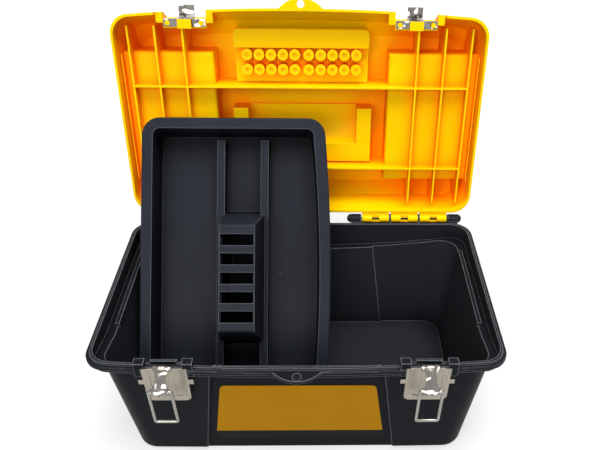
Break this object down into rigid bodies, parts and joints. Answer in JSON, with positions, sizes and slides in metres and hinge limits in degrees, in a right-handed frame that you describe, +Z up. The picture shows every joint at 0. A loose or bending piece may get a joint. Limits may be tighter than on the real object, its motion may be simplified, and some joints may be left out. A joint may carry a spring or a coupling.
{
  "type": "toolbox with lift-out tray",
  "caption": "Moulded toolbox with a hinged ribbed lid, draw latches, folding handle, lid organisers and a lift-out tray with a ladder grip.",
  "frame": {"origin": "middle of the flat underside of the base, between the rim's front and back corners", "axes": "+X along the box to the right as seen from the front, +Y to the hinges at the back, +Z up"},
  "size_m": [0.406, 0.3569, 0.394],
  "materials": {
    "box_plastic": "fine moulded texture",
    "tray_plastic": "fine moulded texture",
    "handle_plastic": "fine moulded texture",
    "lid_plastic": "satin moulded",
    "clear_plastic": "clear moulded",
    "label": "printed film",
    "latch_nickel": "nickel plate",
    "latch_chrome": "bright plate",
    "pin_steel": "drawn rod"
  },
  "bodies": {
    "box": {"box_shell": "box_plastic", "front_label": "label", "hinge_pin_left": "pin_steel", "hinge_pin_right": "pin_steel", "latch_plate_left": "latch_nickel", "latch_plate_right": "latch_nickel", "latch_pin_left": "pin_steel", "latch_pin_right": "pin_steel"},
    "lid": {"lid_shell": "lid_plastic", "bit_holder": "lid_plastic", "keeper_left": "latch_chrome", "keeper_right": "latch_chrome", "cover_pin_left": "pin_steel", "cover_pin_right": "pin_steel"},
    "handle": {"carry_handle": "handle_plastic"},
    "tray": {"tray": "tray_plastic"},
    "lever_left": {"latch_lever_left": "latch_chrome"},
    "bail_left": {"latch_bail_left": "latch_chrome"},
    "cover_left": {"organiser_cover_left": "clear_plastic"},
    "lever_right": {"latch_lever_right": "latch_chrome"},
    "bail_right": {"latch_bail_right": "latch_chrome"},
    "cover_right": {"organiser_cover_right": "clear_plastic"}
  },
  "joints": [
    {"name": "lid_hinge", "type": "hinge", "parent": "box", "child": "lid", "pos_m": [0, 0.121, 0.1457], "axis": [-1, 0, 0], "range_deg": [-101.1, 0]},
    {"name": "tray_swing", "type": "hinge", "parent": "box", "child": "tray", "pos_m": [0, -0.205, 0.145], "axis": [-1, 0, 0], "range_deg": [-182.5, 0.5]},
    {"name": "handle_fold", "type": "hinge", "parent": "lid", "child": "handle", "pos_m": [0, 0.1817, 0.252], "axis": [1, 0, 0], "range_deg": [0, 90]},
    {"name": "lever_left_lift", "type": "hinge", "parent": "box", "child": "lever_left", "pos_m": [-0.1245, -0.1205, 0.1505], "axis": [-1, 0, 0], "range_deg": [-52.6, 0]},
    {"name": "bail_left_swing", "type": "hinge", "parent": "lever_left", "child": "bail_left", "pos_m": [-0.1245, -0.13876, 0.13931], "axis": [1, 0, 0], "range_deg": [-238.9, 0]},
    {"name": "cover_left_open", "type": "hinge", "parent": "lid", "child": "cover_left", "pos_m": [-0.1786, 0.19356, 0.25477], "axis": [0, 0.1925, 0.9813], "range_deg": [0, 110]},
    {"name": "lever_right_lift", "type": "hinge", "parent": "box", "child": "lever_right", "pos_m": [0.1245, -0.1205, 0.1505], "axis": [-1, 0, 0], "range_deg": [-52.6, 0]},
    {"name": "bail_right_swing", "type": "hinge", "parent": "lever_right", "child": "bail_right", "pos_m": [0.1245, -0.13876, 0.13931], "axis": [1, 0, 0], "range_deg": [-238.9, 0]},
    {"name": "cover_right_open", "type": "hinge", "parent": "lid", "child": "cover_right", "pos_m": [0.1786, 0.19356, 0.25477], "axis": [0, -0.1925, -0.9813], "range_deg": [0, 110]}
  ],
  "couplings": [
    {"joint": "tray_swing", "follows": "lid_hinge", "ratio": 1.8},
    {"joint": "bail_left_swing", "follows": "lever_left_lift", "ratio": 4.5418},
    {"joint": "bail_right_swing", "follows": "lever_right_lift", "ratio": 4.5418}
  ]
}
